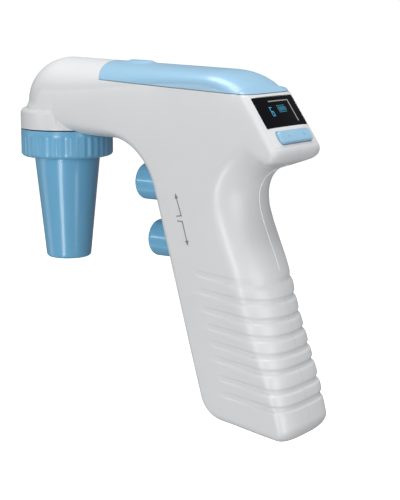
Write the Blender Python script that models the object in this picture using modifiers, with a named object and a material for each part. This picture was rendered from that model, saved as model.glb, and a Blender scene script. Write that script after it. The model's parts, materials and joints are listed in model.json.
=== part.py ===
"""Motorised pipette controller, built as an assembly of separate solids.

The model stands in the working position: +Z up, -X toward the nose that holds the pipette,
+Y to the user's right.  The origin is the middle of the hand grip.  All design sizes below are
in millimetres, measured from the nose axis (x back, z up from the gap above the nosepiece);
place() moves them to the grip origin and turns them into metres.
"""

import math

import bmesh
import bpy
from mathutils import Matrix, Vector
from mathutils.geometry import delaunay_2d_cdt

MM = 0.001
GAP = 0.3                        # clearance between pieces that touch or slide
GRIP_CENTRE = Vector((86.0, 0.0, -55.0))

# ---- housing ----
HALF_WIDTH = 18.3
WALL = 2.0
ROLL_STEPS = 5                   # facets from the parting line round to the flat side
CORNER_STEPS = 5
STRAIGHT_STEP = 14.0

# Corners of the side outline: x, z, blend length before and after the corner, how deep the edge
# rolls into the flat side, and how square that roll is (2 is an ellipse, 6 is nearly flat).
OUTLINE = (
    (-14.8, -2.0, 11.6, 11.6, 11.0, 2.0),      # lower front, hidden in the skirt
    (-13.9, 31.3, 19.0, 19.0, 14.5, 2.0),      # dome over the nose
    (93.8, 26.9, 10.0, 9.0, 6.5, 2.6),         # end of the top
    (104.0, 18.8, 2.5, 1.5, 5.0, 4.5),         # top edge of the display panel
    (120.7, -6.0, 5.5, 5.5, 4.2, 4.0),         # lip under the panel
    (98.9, -15.1, 9.0, 9.0, 12.0, 2.0),        # throat for the web of the hand
    (100.0, -29.0, 3.5, 10.0, 12.0, 2.0),
    (109.7, -52.0, 8.0, 8.0, 12.0, 2.0),
    (126.3, -119.6, 8.5, 8.5, 5.5, 3.0),       # back of the foot
    (82.8, -114.2, 9.5, 9.5, 5.5, 2.4),        # front of the foot
    (51.0, -3.2, 19.0, 18.0, 6.5, 2.2),        # arch between nose and grip
)

# ---- nose ----
SKIRT_R = 20.0
SKIRT_TOP = 9.07
SKIRT_EDGE = 2.8
SKIRT_BORE = 16.0
COLLAR_R = 20.0
COLLAR_TOP = -0.5
COLLAR_BOTTOM = -12.4
CONE_TOP_R = 14.3
CONE_BOTTOM_R = 9.7
CONE_BOTTOM = -57.1
MOUTH_R = 7.0
THREAD_PITCH = 3.0

# ---- top cover ----
COVER_FRONT_LOW = (31.9, 22.2)
COVER_FRONT_TOP = (27.8, 30.5)
COVER_SLOPE = -0.0535
LATCH_X = 41.0

# ---- display panel: s runs down the slope, n is out of it ----
PANEL_START = Vector((104.8, 0.0, 17.0))
PANEL_DOWN = Vector((0.568, 0.0, -0.823)).normalized()
PANEL_OUT = Vector((0.823, 0.0, 0.568)).normalized()
PANEL_HALF = 16.45
PANEL_S = (-1.2, 22.0)
PANEL_THICK = 2.2
WINDOW_HALF = 14.9
WINDOW_S = (0.0, 13.6)
ROCKER_HALF = 11.8
ROCKER_S = (15.6, 21.1)
ROCKER_PROUD = 1.2
ROCKER_PIVOT_DEPTH = 3.4

# ---- triggers ----
TRIGGER_R = 7.75
TRIGGER_LENGTH = 18.3
TRIGGER_RECESS_R = 5.4
TRIGGER_STEM_R = 2.0
TRIGGERS = {"aspirate": Vector((41.2, 0.0, -20.5)), "dispense": Vector((47.8, 0.0, -44.0))}
SPRING_TURNS = 5
SPRING_R = 3.9
SPRING_WIRE = 0.4

# ---- screws through the two halves: x, z ----
SCREWS = ((62.0, -8.0), (95.2, -5.3), (75.0, -57.8), (88.0, -106.8), (112.0, -107.5))
BOSS_R = 3.2
SCREW_R = 1.2
SCREW_HEAD_R = 2.6
SCREW_SEAT = 12.0

# ---- pump and motor, on an axis that leans with the grip ----
PUMP_CENTRE = Vector((93.0, 0.0, -77.5))
PUMP_LEAN = math.radians(-16.0)
PUMP_R = 12.0
MOTOR_R = 10.4
MOTOR_LENGTH = 24.0

# ---- battery in the head, under the cover ----
CELL_R = 9.1
CELL_X = (27.0, 92.0)
CELL_Z = 12.3

WHITE = ("white_plastic", (0.83, 0.84, 0.85), 0.28, 0.0)
PALE_BLUE = ("pale_blue_plastic", (0.42, 0.71, 0.87), 0.3, 0.0)
BLUE = ("blue_plastic", (0.15, 0.42, 0.66), 0.3, 0.0)
GLASS = ("display_glass", (0.01, 0.01, 0.012), 0.08, 0.0)
BLACK = ("black_plastic", (0.03, 0.03, 0.03), 0.5, 0.0)
SILICONE = ("silicone", (0.78, 0.77, 0.72), 0.6, 0.0)
FILTER = ("filter_plastic", (0.82, 0.83, 0.81), 0.5, 0.0)
RUBBER = ("rubber", (0.04, 0.04, 0.04), 0.7, 0.0)
STEEL = ("steel", (0.6, 0.6, 0.6), 0.3, 1.0)
BRASS = ("brass", (0.7, 0.5, 0.25), 0.35, 1.0)
BOARD = ("circuit_board", (0.03, 0.22, 0.1), 0.5, 0.0)
WRAP = ("battery_wrap", (0.1, 0.2, 0.45), 0.4, 0.0)
CLEAR = ("clear_tube", (0.75, 0.78, 0.8), 0.35, 0.0)


# ------------------------------------------------------------------ helpers

def place(point):
    """A design point in millimetres from the nose axis, as metres from the grip centre."""
    return (Vector(point) - GRIP_CENTRE) * MM


def clear_scene():
    for obj in list(bpy.data.objects):
        bpy.data.objects.remove(obj, do_unlink=True)


def new_collection(name):
    collection = bpy.data.collections.new(name)
    bpy.context.scene.collection.children.link(collection)
    return collection


def material(spec):
    name, colour, roughness, metallic = spec
    found = bpy.data.materials.get(name)
    if found:
        return found
    made = bpy.data.materials.new(name)
    made.use_nodes = True
    shader = made.node_tree.nodes["Principled BSDF"]
    shader.inputs["Base Color"].default_value = (*colour, 1.0)
    shader.inputs["Roughness"].default_value = roughness
    shader.inputs["Metallic"].default_value = metallic
    return made


def smooth(mesh):
    mesh.shade_smooth()
    mesh.set_sharp_from_angle(angle=math.radians(35.0))


def add_mesh(name, bm, origin=None):
    """Makes an object of the bmesh, whose points are in world metres, with its origin there."""
    origin = Vector(origin) if origin is not None else Vector((0.0, 0.0, 0.0))
    bm.transform(Matrix.Translation(-origin))
    mesh = bpy.data.meshes.new(name)
    bm.to_mesh(mesh)
    bm.free()
    smooth(mesh)
    obj = bpy.data.objects.new(name, mesh)
    obj.location = origin
    MODEL.objects.link(obj)
    return obj


def paint(obj, spec):
    obj.data.materials.append(material(spec))
    return obj


def as_cutter(obj):
    MODEL.objects.unlink(obj)
    CUTTERS.objects.link(obj)
    obj.hide_render = True
    obj.display_type = "WIRE"
    return obj


def boolean(obj, other, operation):
    """The pieces cut from the hollow form take the MANIFOLD solver, because EXACT fails on it."""
    mod = obj.modifiers.new(operation.lower() + "_" + other.name, "BOOLEAN")
    mod.operation = operation
    mod.solver = "MANIFOLD" if obj.get("from_form") else "EXACT"
    mod.object = other
    return obj


def cut(obj, *others):
    for other in others:
        boolean(obj, other, "DIFFERENCE")
    return obj


def join(obj, *others):
    for other in others:
        boolean(obj, other, "UNION")
    return obj


def block(name, low, high, bevel=0.0, frame=None, origin=None):
    """A box between two opposite corners in millimetres, in the design frame or in frame."""
    low, high = (Vector(pick(pair) for pair in zip(low, high)) for pick in (min, max))
    bm = bmesh.new()
    bmesh.ops.create_cube(bm, size=1.0)
    bmesh.ops.scale(bm, vec=high - low, verts=bm.verts)
    bmesh.ops.translate(bm, vec=(low + high) / 2.0, verts=bm.verts)
    return finish_solid(name, bm, frame, bevel, origin)


def finish_solid(name, bm, frame, bevel, origin):
    if frame is not None:
        bm.transform(frame)
    bm.transform(Matrix.Scale(MM, 4) @ Matrix.Translation(-GRIP_CENTRE))
    obj = add_mesh(name, bm, place(origin) if origin is not None else None)
    if bevel:
        mod = obj.modifiers.new("edges", "BEVEL")
        mod.width = bevel * MM
        mod.segments = 2
    return obj


def rod(name, start, end, radius, sides=24, origin=None):
    """A cylinder between two points in millimetres."""
    start, end = Vector(start), Vector(end)
    axis = end - start
    bm = bmesh.new()
    bmesh.ops.create_cone(bm, cap_ends=True, segments=sides, radius1=radius, radius2=radius,
                          depth=axis.length)
    turn = Vector((0.0, 0.0, 1.0)).rotation_difference(axis).to_matrix().to_4x4()
    bm.transform(Matrix.Translation((start + end) / 2.0) @ turn)
    return finish_solid(name, bm, None, 0.0, origin)


def turned(name, profile, base, steps=32, rotation=(0.0, 0.0, 0.0)):
    """A profile of (radius, height) in millimetres, top to bottom outside, turned about Z.

    A profile that ends where it began is a ring; one that starts and ends at radius 0 is solid.
    """
    closed = profile[0] == profile[-1]
    points = profile[:-1] if closed else profile
    bm = bmesh.new()
    verts = [bm.verts.new((r * MM, 0.0, z * MM)) for r, z in points]
    for first, second in zip(verts, verts[1:]):
        bm.edges.new((first, second))
    if closed:
        bm.edges.new((verts[-1], verts[0]))
    mesh = bpy.data.meshes.new(name)
    bm.to_mesh(mesh)
    bm.free()
    obj = bpy.data.objects.new(name, mesh)
    obj.location = place(base)
    obj.rotation_euler = rotation
    MODEL.objects.link(obj)
    screw = obj.modifiers.new("turn", "SCREW")
    screw.steps = steps
    screw.render_steps = steps
    screw.use_merge_vertices = True
    screw.merge_threshold = 0.00001
    screw.use_smooth_shade = True
    return obj


ALONG_X = (0.0, -math.pi / 2.0, 0.0)      # turns a profile's +Z to the front, -X


def ring(name, centre, radius, wire, rotation=(0.0, 0.0, 0.0)):
    """An O-ring: a torus of mean radius and wire radius, in millimetres."""
    around = 8
    profile = []
    for step in range(around + 1):
        angle = math.pi / 2.0 - 2.0 * math.pi * (step % around) / around
        profile.append((radius + wire * math.cos(angle), wire * math.sin(angle)))
    return turned(name, profile, centre, 24, rotation)


def wire(name, points, radius, resolution=1):
    """A tube or wire along points in millimetres, as a curve with a round section."""
    curve = bpy.data.curves.new(name, "CURVE")
    curve.dimensions = "3D"
    curve.bevel_depth = radius * MM
    curve.bevel_resolution = resolution
    curve.use_fill_caps = True
    spline = curve.splines.new("POLY")
    spline.points.add(len(points) - 1)
    for slot, point in zip(spline.points, points):
        slot.co = (*place(point), 1.0)
    obj = bpy.data.objects.new(name, curve)
    MODEL.objects.link(obj)
    return obj


def smooth_route(points, per_span=5):
    """Points on a smooth curve (Catmull-Rom) through the route's own points."""
    knots = [Vector(p) for p in points]
    knots = [2 * knots[0] - knots[1]] + knots + [2 * knots[-1] - knots[-2]]
    route = []
    for before, start, end, after in zip(knots, knots[1:], knots[2:], knots[3:]):
        for step in range(per_span):
            t = step / per_span
            route.append(0.5 * (2 * start + (end - before) * t
                                + (2 * before - 5 * start + 4 * end - after) * t ** 2
                                + (3 * start - before - 3 * end + after) * t ** 3))
    return route + [knots[-2]]


def coil_points(start, end, radius, turns, per_turn=10):
    """Points of a helix from start to end along X, in millimetres."""
    count = turns * per_turn
    length = end.x - start.x
    points = []
    for step in range(count + 1):
        angle = 2.0 * math.pi * step / per_turn
        points.append((start.x + length * step / count,
                       start.y + radius * math.cos(angle),
                       start.z + radius * math.sin(angle)))
    return points


# ------------------------------------------------------------------ the housing's form

def corner_arc(before, corner, after, cut_in, cut_out, steps):
    """A conic blend at a corner: an arc where both cuts are equal, else part of an ellipse."""
    into = (corner - before).normalized()
    out = (after - corner).normalized()
    start = corner - into * cut_in
    end = corner + out * cut_out
    weight = math.cos(into.angle(out) / 2.0)
    points = []
    for step in range(steps + 1):
        t = step / steps
        a, b, c = (1 - t) ** 2, 2 * t * (1 - t) * weight, t ** 2
        points.append((start * a + corner * b + end * c) / (a + b + c))
    return points


def outline_stations():
    """Points round the side outline, each with its roll depth and squareness."""
    count = len(OUTLINE)
    arcs = []
    for index in range(count):
        x, z, cut_in, cut_out, roll, square = OUTLINE[index]
        before = Vector(OUTLINE[index - 1][:2])
        after = Vector(OUTLINE[(index + 1) % count][:2])
        arc = corner_arc(before, Vector((x, z)), after, cut_in, cut_out, CORNER_STEPS)
        arcs.append((arc, roll, square))
    stations = []
    for index in range(count):
        arc, roll, square = arcs[index]
        next_arc, next_roll, next_square = arcs[(index + 1) % count]
        stations += [(point, roll, square) for point in arc]
        gap = next_arc[0] - arc[-1]
        pieces = max(1, round(gap.length / STRAIGHT_STEP))
        for step in range(1, pieces):
            t = step / pieces
            ease = t * t * (3 - 2 * t)
            stations.append((arc[-1] + gap * t, roll + (next_roll - roll) * ease,
                             square + (next_square - square) * ease))
    return stations


def rolled_rings(inset):
    """Rings of points from the flat left side, over the outline, to the flat right side."""
    stations = outline_stations()
    count = len(stations)
    half = HALF_WIDTH - inset
    rings = []
    for step in range(-ROLL_STEPS, ROLL_STEPS + 1):
        angle = math.radians(90.0) * abs(step) / ROLL_STEPS
        side = math.copysign(1.0, step)
        loop = []
        for index in range(count):
            point, roll, square = stations[index]
            along = (stations[(index + 1) % count][0] - stations[index - 1][0]).normalized()
            inward = Vector((along.y, -along.x))
            depth = max(roll - inset, 1.0) * (1.0 - max(math.cos(angle), 0.0) ** (2 / square))
            across = half * math.sin(angle) ** (2 / square)
            spot = point + inward * (inset + depth)
            loop.append((spot.x, side * across, spot.y))
        rings.append(loop)
    return rings


def add_skin(bm, inset, facing_out):
    """Adds one closed skin of the housing's form to the bmesh, set in from the outline."""
    rings = [[bm.verts.new(point) for point in loop] for loop in rolled_rings(inset)]
    faces = []
    for loop, next_loop in zip(rings, rings[1:]):
        count = len(loop)
        for index in range(count):
            after = (index + 1) % count
            corners = (loop[index], loop[after], next_loop[after], next_loop[index])
            faces.append(bm.faces.new(corners if facing_out else corners[::-1]))
    for ring_verts, toward_right in ((rings[0], False), (rings[-1], True)):
        fill_side(bm, ring_verts, toward_right == facing_out)


def fill_side(bm, loop, facing_right):
    """Fills a flat side, whose outline is concave, with triangles that face +Y or -Y."""
    flat = [Vector((vert.co.x, vert.co.z)) for vert in loop]
    triangles = delaunay_2d_cdt(flat, [], [range(len(flat))], 1, 1e-6)[2]
    for corners in triangles:
        face = bm.faces.new([loop[index] for index in corners])
        face.normal_update()
        if (face.normal.y > 0.0) != facing_right:
            face.normal_flip()


def housing_form(name, insets):
    """The housing's form: solid for one inset, a hollow wall between two."""
    bm = bmesh.new()
    for index, inset in enumerate(insets):
        add_skin(bm, inset, index == 0)
    return finish_solid(name, bm, None, 0.0, None)


def copy_form(form, name):
    """A visible piece that starts as a copy of the form."""
    piece = bpy.data.objects.new(name, form.data.copy())
    piece["from_form"] = True
    MODEL.objects.link(piece)
    return piece


def side_prism(name, points, low, high):
    """A side outline in millimetres, closed, drawn out across the width from low to high."""
    bm = bmesh.new()
    face = bm.faces.new([bm.verts.new((x, low, z)) for x, z in points])
    grown = bmesh.ops.extrude_face_region(bm, geom=[face])
    verts = [v for v in grown["geom"] if isinstance(v, bmesh.types.BMVert)]
    bmesh.ops.translate(bm, vec=(0.0, high - low, 0.0), verts=verts)
    bmesh.ops.recalc_face_normals(bm, faces=bm.faces)
    return finish_solid(name, bm, None, 0.0, None)


def cover_region(name, clearance):
    """The space over the cover's parting line, larger all round by the clearance."""
    low_x, low_z = COVER_FRONT_LOW
    top_x, top_z = COVER_FRONT_TOP
    points = [(low_x - clearance, low_z - clearance), (top_x - clearance, top_z)]
    far_x = 125.0
    points.append((top_x - clearance, 60.0))
    points.append((far_x, 60.0))
    points.append((far_x, low_z + COVER_SLOPE * (far_x - low_x) - clearance))
    return side_prism(name, points, -40.0, 40.0)


PANEL_FRAME = Matrix((
    (PANEL_DOWN.x, 0.0, PANEL_OUT.x, PANEL_START.x),
    (0.0, 1.0, 0.0, 0.0),
    (PANEL_DOWN.z, 0.0, PANEL_OUT.z, PANEL_START.z),
    (0.0, 0.0, 0.0, 1.0),
))


def on_panel(s, y, out):
    return PANEL_FRAME @ Vector((s, y, out))


def panel_block(name, s_range, half, out_range, bevel=0.0, origin=None):
    return block(name, (s_range[0], -half, out_range[0]), (s_range[1], half, out_range[1]),
                 bevel, PANEL_FRAME, origin)


# ------------------------------------------------------------------ pieces

def make_housings(shell):
    skirt_profile = [(9.0, SKIRT_TOP)]
    for step in range(5):
        angle = math.radians(90.0) * step / 4
        skirt_profile.append((SKIRT_R - SKIRT_EDGE + SKIRT_EDGE * math.sin(angle),
                              SKIRT_TOP - SKIRT_EDGE + SKIRT_EDGE * math.cos(angle)))
    skirt_profile += [(SKIRT_R, -1.0), (9.0, -1.0), (9.0, SKIRT_TOP)]
    skirt = as_cutter(turned("skirt_ring", skirt_profile, (0, 0, 0), 48, (0.0, 0.0, 0.05)))
    nose_room = as_cutter(rod("nose_room", (0, 0, -40), (0, 0, 0), SKIRT_R + 0.6, 48))
    bore_room = as_cutter(rod("bore_room", (0, 0, -2), (0, 0, 5.93), SKIRT_BORE, 37))
    neck_room = as_cutter(rod("neck_room", (0, 0, -1), (0, 0, 14), 11.4, 35))
    cover_room = as_cutter(cover_region("cover_room", 0.15))
    panel_room = as_cutter(panel_block("panel_room", (PANEL_S[0] - GAP, PANEL_S[1] + GAP),
                                       PANEL_HALF + GAP, (-PANEL_THICK - GAP, 8.0)))
    port_room = as_cutter(block("port_room", (97.7, -5.0, -125.0), (102.3, 5.0, -100.0)))
    bores = [as_cutter(rod(name + "_bore", spot + Vector((-20, 0, 0)), spot + Vector((22, 0, 0)),
                           TRIGGER_R + GAP, 32)) for name, spot in TRIGGERS.items()]
    for name, side in (("left_housing", -1), ("right_housing", 1)):
        half = copy_form(shell, name)
        join(half, skirt)
        for index, (x, z) in enumerate(SCREWS):
            boss = rod(f"{name}_boss_{index}", (x, side * 0.1, z),
                       (x, side * (HALF_WIDTH - 1.7), z), BOSS_R, 20)
            join(half, as_cutter(boss))
        cut(half, nose_room, bore_room, neck_room, cover_room, panel_room, port_room, *bores)
        for index, (x, z) in enumerate(SCREWS):
            deep = 13.0 if side < 0 else SCREW_SEAT + 1.0
            hole = rod(f"{name}_hole_{index}", (x, -side, z), (x, side * deep, z),
                       SCREW_R + GAP, 16)
            cut(half, as_cutter(hole))
            if side > 0:
                seat = rod(f"{name}_seat_{index}", (x, SCREW_SEAT, z), (x, 25, z),
                           SCREW_HEAD_R + GAP, 20)
                cut(half, as_cutter(seat))
        away = block(name + "_other_side", (-60, -60 * side, -180), (180, side * 0.15, 60))
        cut(half, as_cutter(away))
        paint(half, WHITE)


def top_height(x):
    """Height of the head's top line over the mid-plane."""
    front, back = OUTLINE[1], OUTLINE[2]
    return front[1] + (x - front[0]) * (back[1] - front[1]) / (back[0] - front[0])


def make_cover(shell):
    cover = copy_form(shell, "top_cover")
    boolean(cover, as_cutter(cover_region("cover_shape", -0.15)), "INTERSECT")
    steps = 24
    bm = bmesh.new()
    bmesh.ops.create_uvsphere(bm, u_segments=steps, v_segments=8, radius=1.0)
    bmesh.ops.scale(bm, vec=(6.8, 4.6, 1.4), verts=bm.verts)
    top = top_height(LATCH_X)
    bmesh.ops.translate(bm, vec=(LATCH_X, 0.0, top - 0.8), verts=bm.verts)
    join(cover, as_cutter(finish_solid("latch_bump", bm, None, 0.0, None)))
    paint(cover, PALE_BLUE)


def make_panel(solid):
    panel = copy_form(solid, "rear_panel")
    shape = panel_block("panel_shape", PANEL_S, PANEL_HALF, (-PANEL_THICK, 8.0))
    boolean(panel, as_cutter(shape), "INTERSECT")
    window_room = panel_block("window_room", (WINDOW_S[0] - GAP, WINDOW_S[1] + GAP),
                              WINDOW_HALF + GAP, (-8.0, 8.0))
    rocker_room = panel_block("rocker_room", (ROCKER_S[0] - GAP, ROCKER_S[1] + GAP),
                              ROCKER_HALF + GAP, (-8.0, 8.0))
    cut(panel, as_cutter(window_room), as_cutter(rocker_room))
    paint(panel, WHITE)

    paint(panel_block("display_window", WINDOW_S, WINDOW_HALF, (-1.5, -0.05)), GLASS)
    paint(panel_block("display_module", (0.6, 13.0), 14.2, (-4.4, -1.8)), BLACK)
    paint(panel_block("key_board", (0.6, 21.5), 13.0, (-6.3, -4.8)), BOARD)


def make_rocker():
    middle = (ROCKER_S[0] + ROCKER_S[1]) / 2.0
    pivot = on_panel(middle, 0.0, -ROCKER_PIVOT_DEPTH)
    rocker = panel_block("speed_rocker", ROCKER_S, ROCKER_HALF, (-2.3, ROCKER_PROUD), 0.5, pivot)
    hub = panel_block("rocker_hub", (ROCKER_S[0] + 0.4, ROCKER_S[1] - 0.4), 1.2, (-4.1, -1.5))
    join(rocker, as_cutter(hub))
    paint(rocker, PALE_BLUE)
    for name, y in (("slower_switch", -8.5), ("faster_switch", 8.5)):
        switch = block(name, (middle - 2.0, y - 2.0, -4.5), (middle + 2.0, y + 2.0, -3.4),
                       0.0, PANEL_FRAME)
        paint(switch, BLACK)


def make_triggers():
    for name, tip in TRIGGERS.items():
        floor = -7.6
        profile = [(0.0, 0.0)]
        for step in range(1, 7):
            angle = math.radians(90.0) * step / 6
            profile.append((TRIGGER_R * math.sin(angle) ** 0.75,
                            -3.0 * (1.0 - math.cos(angle) ** 0.9)))
        profile += [(TRIGGER_R, -TRIGGER_LENGTH), (TRIGGER_RECESS_R, -TRIGGER_LENGTH),
                    (TRIGGER_RECESS_R, floor), (TRIGGER_STEM_R, floor),
                    (TRIGGER_STEM_R, -36.5), (0.0, -36.5)]
        paint(turned(name + "_trigger", profile, tip, 32, ALONG_X), BLUE)

        front = tip.x + 25.6
        body = [(8.0, 0.0), (8.0, -14.0), (2.5, -14.0), (2.5, -3.0), (3.9, -3.0), (3.9, 0.0),
                (8.0, 0.0)]
        valve = turned(name + "_valve_body", body, (front, 0, tip.z), 28, ALONG_X)
        paint(valve, BLACK)
        seal = ring(name + "_stem_seal", (front + 1.5, 0, tip.z), 3.0, 0.6, ALONG_X)
        paint(seal, RUBBER)

        start = Vector((tip.x - floor + SPRING_WIRE + 0.1, 0, tip.z))
        end = Vector((front - SPRING_WIRE - 0.1, 0, tip.z))
        coil = coil_points(start, end, SPRING_R, SPRING_TURNS)
        paint(wire(name + "_spring", coil, SPRING_WIRE), STEEL)


def make_nose():
    cone_slope = (CONE_BOTTOM_R - CONE_TOP_R) / (CONE_BOTTOM - COLLAR_BOTTOM)

    def cone_r(z):
        return CONE_TOP_R + cone_slope * (z - COLLAR_BOTTOM)

    shell = [(15.6, COLLAR_TOP), (COLLAR_R, COLLAR_TOP), (COLLAR_R, COLLAR_BOTTOM + 2.2),
             (COLLAR_R - 0.8, COLLAR_BOTTOM + 0.6), (COLLAR_R - 2.4, COLLAR_BOTTOM),
             (CONE_TOP_R, COLLAR_BOTTOM), (cone_r(CONE_BOTTOM + 1.2), CONE_BOTTOM + 1.2),
             (CONE_BOTTOM_R - 0.7, CONE_BOTTOM), (MOUTH_R, CONE_BOTTOM),
             (MOUTH_R, CONE_BOTTOM + 1.6), (cone_r(-50.0) - 2.2, -50.0),
             (cone_r(-14.0) - 2.2, -14.0), (15.6, -11.5), (15.6, COLLAR_TOP)]
    paint(turned("nosepiece", shell, (0, 0, 0), 48), BLUE)

    spigot = [(3.4, 11.0), (12.2, 11.0), (12.2, SKIRT_TOP + GAP), (11.1, SKIRT_TOP + GAP),
              (11.1, 5.6), (15.6, 5.6), (15.6, 1.6), (14.2, 1.6)]
    for turn in range(3):
        crest = -0.2 - turn * THREAD_PITCH
        spigot += [(14.2, crest), (15.2, crest - 0.7), (15.2, crest - 1.1), (14.2, crest - 1.8)]
    spigot += [(14.2, -9.4), (3.4, -9.4), (3.4, 11.0)]
    paint(turned("nose_spigot", spigot, (0, 0, 0), 28), BLACK)

    membrane = [(0.0, -1.0), (2.6, -1.0), (2.6, -10.0), (10.6, -10.4), (11.0, -11.0),
                (11.0, -14.0), (10.6, -14.6), (2.6, -15.0), (2.6, -21.0), (0.0, -21.0)]
    paint(turned("membrane_filter", membrane, (0, 0, 0), 28), FILTER)

    mouth = CONE_BOTTOM + 2.0
    holder = [(3.0, -16.0), (cone_r(-16.0) - 2.7, -16.0), (cone_r(-50.0) - 2.6, -50.0),
              (MOUTH_R - 0.1, mouth - 0.1), (5.4, mouth - 0.1), (4.4, -48.0), (4.2, -24.0),
              (3.0, -22.5), (3.0, -16.0)]
    paint(turned("pipette_holder", holder, (0, 0, 0), 28), SILICONE)


def make_pump():
    tilt = Matrix.Rotation(PUMP_LEAN, 4, "Y")
    rotation = (0.0, PUMP_LEAN, 0.0)

    def local(x, y, z):
        return PUMP_CENTRE + tilt @ Vector((x, y, z))

    motor = [(0.0, 5.0), (1.0, 5.0), (1.0, 1.2), (3.0, 1.2), (3.0, 0.0), (MOTOR_R, 0.0),
             (MOTOR_R, -MOTOR_LENGTH), (0.0, -MOTOR_LENGTH)]
    paint(turned("pump_motor", motor, PUMP_CENTRE, 32, rotation), STEEL)
    case = [(PUMP_R, 9.0), (PUMP_R, 0.4), (3.6, 0.4), (3.6, 1.9), (PUMP_R - 1.6, 1.9),
            (PUMP_R - 1.6, 9.0), (PUMP_R, 9.0)]
    paint(turned("crank_case", case, PUMP_CENTRE, 32, rotation), BLACK)
    bm = bmesh.new()
    bmesh.ops.create_cone(bm, cap_ends=True, segments=28, radius1=5.0, radius2=5.0, depth=3.0)
    bmesh.ops.translate(bm, vec=(1.6, 0.0, 4.4), verts=bm.verts)
    frame = Matrix.Translation(PUMP_CENTRE) @ tilt
    crank = finish_solid("motor_crank", bm, frame, 0.0, PUMP_CENTRE)
    hole = rod("crank_hole", local(0, 0, 0), local(0, 0, 9), 1.0 + GAP, 16)
    cut(crank, as_cutter(hole))
    paint(crank, BRASS)
    skin = [(0.0, 10.6), (4.0, 10.6), (6.0, 11.0), (PUMP_R, 11.0), (PUMP_R, 9.4), (6.0, 9.4),
            (4.0, 8.4), (0.0, 8.4)]
    paint(turned("pump_diaphragm", skin, PUMP_CENTRE, 28, rotation), RUBBER)
    head = [(0.0, 18.0), (PUMP_R, 18.0), (PUMP_R, 11.4), (6.2, 11.4), (5.0, 12.2), (0.0, 12.2)]
    paint(turned("pump_head", head, PUMP_CENTRE, 28, rotation), BLACK)
    return local


def make_tubes(local):
    nose_route = smooth_route(((0, 0, 6.0), (0, 0, 11.5), (3.0, 3.0, 16.0), (12.0, 9.5, 15.0),
                               (24.0, 13.4, 11.0), (50.0, 14.2, 8.0), (74.0, 14.2, 3.0),
                               (83.0, 13.4, -4.0), (87.5, 6.0, -12.0), (88.0, 2.0, -19.0)), 4)
    paint(wire("nose_tube", nose_route, 1.6), CLEAR)
    for name, y in (("suction_tube", -6.0), ("pressure_tube", 6.0)):
        tip = TRIGGERS["aspirate" if y < 0 else "dispense"]
        start = Vector((tip.x + 41.6, y * 0.4, tip.z))
        end = local(2.0, y, 18.6)
        route = smooth_route((start, start + Vector((3.5, y * 0.2, -1.5)),
                              (start + end) / 2 + Vector((8.0, y * 0.4, 0.0)),
                              end + Vector((1.0, 0, 4.0)), end), 4)
        paint(wire(name, route, 1.3), CLEAR)


def make_power():
    cell = [(0.0, 0.8), (3.0, 0.8), (3.0, 0.0), (CELL_R, 0.0), (CELL_R, -64.0), (0.0, -64.0)]
    paint(turned("battery_cell", cell, (CELL_X[0] + 0.8, 0, CELL_Z), 32, ALONG_X), WRAP)
    holder = block("battery_holder", (CELL_X[0] - 2.0, -10.8, 3.0), (CELL_X[1] + 2.6, 10.8, 7.2))
    trough = rod("cell_room", (CELL_X[0] - 0.6, 0, CELL_Z), (CELL_X[1] + 1.2, 0, CELL_Z),
                 CELL_R + 0.5, 32)
    cut(holder, as_cutter(trough))
    paint(holder, BLACK)
    for name, x in (("front_contact", CELL_X[0] - 0.9), ("rear_contact", CELL_X[1] + 0.6)):
        paint(block(name, (x, -4.0, 8.0), (x + 0.5, 4.0, 17.0)), BRASS)
    paint(block("main_board", (50.0, -12.0, 0.4), (93.0, 12.0, 2.0)), BOARD)
    socket = block("charging_socket", (98.0, -4.7, -116.0), (102.0, 4.7, -107.5))
    slot = block("socket_slot", (98.9, -3.9, -120.0), (101.1, 3.9, -110.0))
    cut(socket, as_cutter(slot))
    paint(socket, STEEL)


def make_screws():
    for index, (x, z) in enumerate(SCREWS, 1):
        profile = [(0.0, 2.0), (SCREW_HEAD_R, 2.0), (SCREW_HEAD_R, GAP), (SCREW_R, GAP),
                   (SCREW_R, -22.0), (0.0, -22.0)]
        screw = turned(f"housing_screw_{index}", profile, (x, SCREW_SEAT, z), 16,
                       (-math.pi / 2.0, 0.0, 0.0))
        paint(screw, STEEL)


clear_scene()
MODEL = new_collection("pipette_controller")
CUTTERS = new_collection("cutters")
SOLID = as_cutter(housing_form("solid_form", (0.0,)))
SHELL = as_cutter(housing_form("shell_form", (0.0, WALL)))
make_housings(SHELL)
make_cover(SHELL)
make_panel(SOLID)
make_rocker()
make_triggers()
make_nose()
PUMP_LOCAL = make_pump()
make_tubes(PUMP_LOCAL)
make_power()
make_screws()
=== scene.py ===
"""Looks for the pipette controller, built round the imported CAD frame."""

import json
import math

import bmesh
import bpy
from mathutils import Matrix, Vector
from mathutils.geometry import delaunay_2d_cdt

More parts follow.
